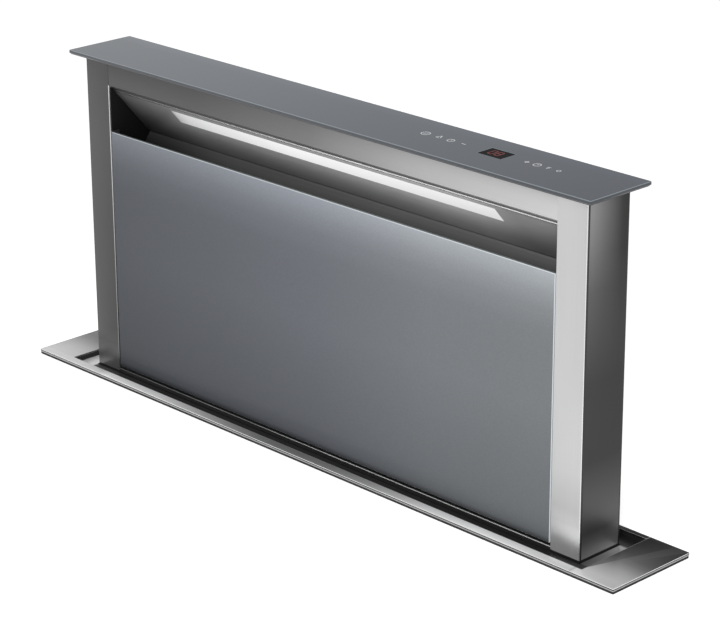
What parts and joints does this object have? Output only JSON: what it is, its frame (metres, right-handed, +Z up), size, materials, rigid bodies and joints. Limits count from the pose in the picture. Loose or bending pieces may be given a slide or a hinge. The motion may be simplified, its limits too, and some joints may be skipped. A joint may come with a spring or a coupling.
{
  "type": "downdraft vent",
  "caption": "Rising worktop downdraft vent: a glass-capped tower with an intake slot, light strip and tilting front glass lifts out of a steel flange over its casing and blower.",
  "frame": {"origin": "middle of the footprint's bounding box, on the floor under the feet", "axes": "+X to the right as seen from the front, +Y from the front to the wall, +Z up along the tower's travel"},
  "size_m": [0.9, 0.295, 1.0157],
  "materials": {
    "brushed stainless steel": "brushed lengthways",
    "polished stainless steel": "smooth",
    "galvanised steel": "satin",
    "zinc plated steel": "satin",
    "cast aluminium": "cast",
    "filter aluminium": "satin",
    "black rubber": "matt",
    "motor housing": "painted",
    "back painted glass": "gloss, opaque paint on the back",
    "dark display": "gloss",
    "black liner": "satin",
    "black plastic": "moulded",
    "white plastic": "moulded",
    "light diffuser": "frosted",
    "circuit board": "satin"
  },
  "bodies": {
    "housing": {"flange_plate": "brushed stainless steel", "recess_tray": "polished stainless steel", "flange_gasket": "black rubber", "wiper_seal": "black rubber", "housing_front": "galvanised steel", "housing_back": "galvanised steel", "housing_shell": "galvanised steel", "levelling_feet": "black rubber", "worktop_clamps": "galvanised steel", "clamp_screws": "zinc plated steel", "guide_rails": "galvanised steel", "idler_axles": "zinc plated steel", "shaft_bearings": "cast aluminium", "lift_belts": "black rubber", "lift_gearbox": "cast aluminium", "lift_motor": "motor housing", "blower_box": "galvanised steel", "blower_cover": "galvanised steel", "cover_screws": "zinc plated steel", "inlet_ring": "galvanised steel", "scroll_casing": "galvanised steel", "blower_motor": "motor housing", "outlet_adapter": "galvanised steel", "outlet_spigot": "galvanised steel", "damper_pin": "zinc plated steel", "control_box": "black plastic", "control_lid": "black plastic", "cable_gland": "black plastic"},
    "tower": {"left_upright": "brushed stainless steel", "right_upright": "brushed stainless steel", "top_crossbar": "brushed stainless steel", "back_panel": "brushed stainless steel", "lower_front_panel": "brushed stainless steel", "bottom_frame": "brushed stainless steel", "cap_carrier": "polished stainless steel", "cap_glass": "back painted glass", "display_window": "dark display", "touch_board": "circuit board", "intake_ceiling": "polished stainless steel", "led_diffuser": "light diffuser", "led_board": "circuit board", "throat_plate": "polished stainless steel", "intake_cheeks": "black liner", "filter_frame": "polished stainless steel", "grease_filter_left": "filter aluminium", "grease_filter_centre": "filter aluminium", "grease_filter_right": "filter aluminium", "drip_channel": "polished stainless steel", "lift_brackets": "zinc plated steel", "glide_shoes": "white plastic"},
    "front_panel": {"front_glass": "back painted glass", "glass_carrier": "polished stainless steel", "hinge_pins": "zinc plated steel"},
    "lift_drive": {"drive_shaft": "zinc plated steel", "drive_pulleys": "cast aluminium"},
    "idler_left": {"idler_left": "cast aluminium"},
    "idler_right": {"idler_right": "cast aluminium"},
    "impeller": {"impeller": "black plastic"},
    "damper_flap_front": {"damper_flap_front": "zinc plated steel"},
    "damper_flap_rear": {"damper_flap_rear": "zinc plated steel"}
  },
  "joints": [
    {"name": "tower_lift", "type": "slide", "parent": "housing", "child": "tower", "axis": [0, 0, 1], "range_m": [-0.3745, 0]},
    {"name": "front_panel_tilt", "type": "hinge", "parent": "tower", "child": "front_panel", "pos_m": [0, 0.07195, 0.6497], "axis": [1, 0, 0], "range_deg": [0, 18]},
    {"name": "impeller_spin", "type": "hinge", "parent": "housing", "child": "impeller", "pos_m": [0, -0.02145, 0.15801], "axis": [0, 1, 0], "continuous": true},
    {"name": "damper_flap_front_swing", "type": "hinge", "parent": "housing", "child": "damper_flap_front", "pos_m": [0.174, -0.04925, 0.23616], "axis": [0, 0, 1], "range_deg": [0, 75], "stiffness_Nm_per_rad": 0.01},
    {"name": "damper_flap_rear_swing", "type": "hinge", "parent": "housing", "child": "damper_flap_rear", "pos_m": [0.174, -0.04925, 0.23616], "axis": [0, 0, -1], "range_deg": [0, 75], "stiffness_Nm_per_rad": 0.01},
    {"name": "lift_drive_spin", "type": "hinge", "parent": "housing", "child": "lift_drive", "pos_m": [0, 0.11595, 0.06637], "axis": [1, 0, 0], "range_deg": [0, 1510]},
    {"name": "idler_left_spin", "type": "hinge", "parent": "housing", "child": "idler_left", "pos_m": [-0.38675, 0.11595, 0.5962], "axis": [1, 0, 0], "range_deg": [0, 1510]},
    {"name": "idler_right_spin", "type": "hinge", "parent": "housing", "child": "idler_right", "pos_m": [0.38675, 0.11595, 0.5962], "axis": [1, 0, 0], "range_deg": [0, 1510]}
  ],
  "couplings": [
    {"joint": "lift_drive_spin", "follows": "tower_lift", "rad_per_m": -69.93},
    {"joint": "idler_left_spin", "follows": "tower_lift", "rad_per_m": -69.93},
    {"joint": "idler_right_spin", "follows": "tower_lift", "rad_per_m": -69.93}
  ]
}
